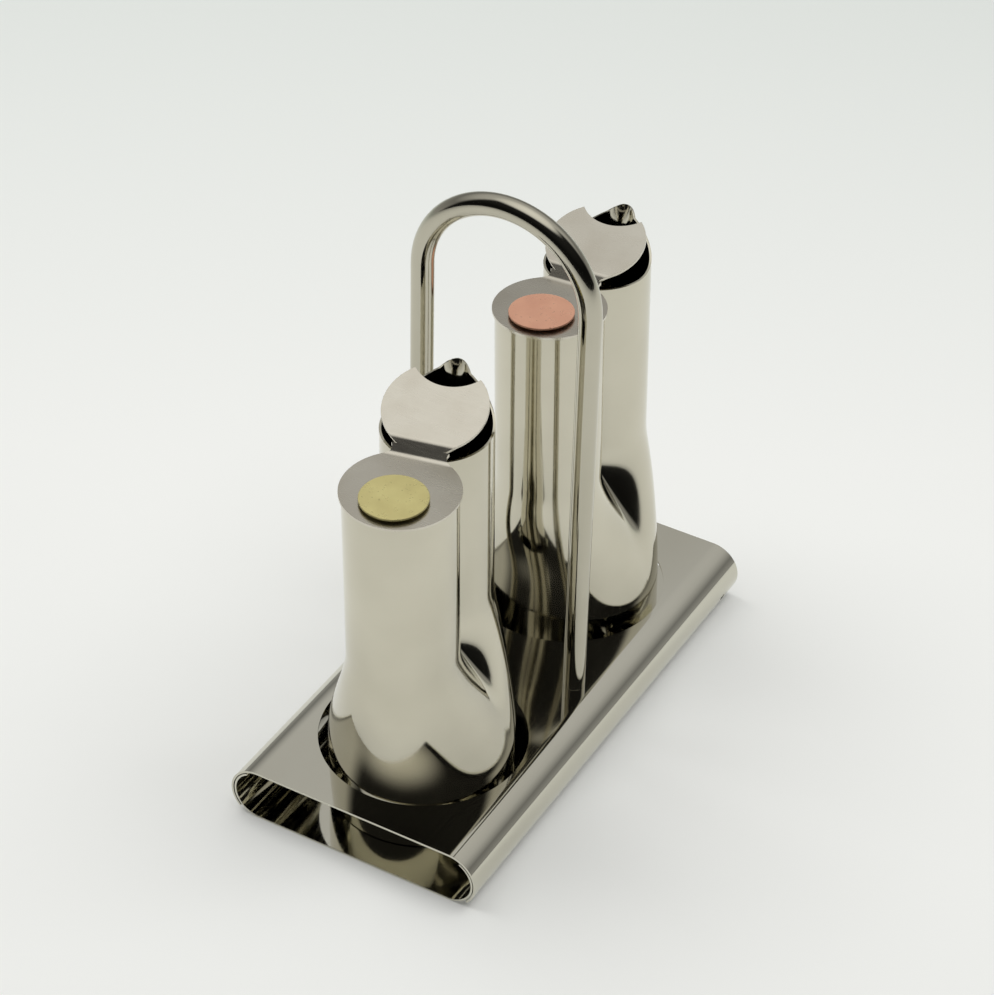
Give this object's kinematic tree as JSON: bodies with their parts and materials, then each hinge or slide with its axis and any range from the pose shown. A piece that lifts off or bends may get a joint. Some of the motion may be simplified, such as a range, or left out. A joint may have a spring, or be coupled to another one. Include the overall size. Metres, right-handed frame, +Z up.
{
  "type": "cruet set with drawer",
  "caption": "Table set of lidded steel pouring cruets standing in a low holder with a bent tube handle and a drip tray that pulls out as a drawer.",
  "frame": {"origin": "on the table, under the middle of the holder", "axes": "+Z up, +Y along the holder away from the drawer's front end, +X across it"},
  "size_m": [0.1, 0.2, 0.2181],
  "materials": {
    "steel": "polished stainless",
    "satin_steel": "satin",
    "screw_steel": "satin",
    "brass": "polished",
    "copper": "polished"
  },
  "bodies": {
    "holder": {"holder_shell": "satin_steel", "handle": "steel", "handle_plugs": "screw_steel", "handle_screws": "screw_steel"},
    "drawer": {"drip_tray": "satin_steel"},
    "oil_cruet": {"oil_body": "steel", "oil_base": "steel"},
    "oil_lid_set": {"oil_lid": "steel", "oil_lid_collar": "steel", "oil_thumb_disc": "brass"},
    "vinegar_cruet": {"vinegar_body": "steel", "vinegar_base": "steel"},
    "vinegar_lid_set": {"vinegar_lid": "steel", "vinegar_lid_collar": "steel", "vinegar_thumb_disc": "copper"}
  },
  "joints": [
    {"name": "drawer_slide", "type": "slide", "parent": "holder", "child": "drawer", "axis": [0, -1, 0], "range_m": [0, 0.185]},
    {"name": "oil_cruet_lift", "type": "slide", "parent": "holder", "child": "oil_cruet", "axis": [0, 0, 1], "range_m": [0, 0.04]},
    {"name": "vinegar_cruet_lift", "type": "slide", "parent": "holder", "child": "vinegar_cruet", "axis": [0, 0, 1], "range_m": [0, 0.04]},
    {"name": "oil_lid_lift", "type": "slide", "parent": "oil_cruet", "child": "oil_lid_set", "axis": [0, -0.0279, 0.9996], "range_m": [0, 0.025]},
    {"name": "vinegar_lid_lift", "type": "slide", "parent": "vinegar_cruet", "child": "vinegar_lid_set", "axis": [-0.0384, 0.0244, 0.999], "range_m": [0, 0.025]}
  ]
}
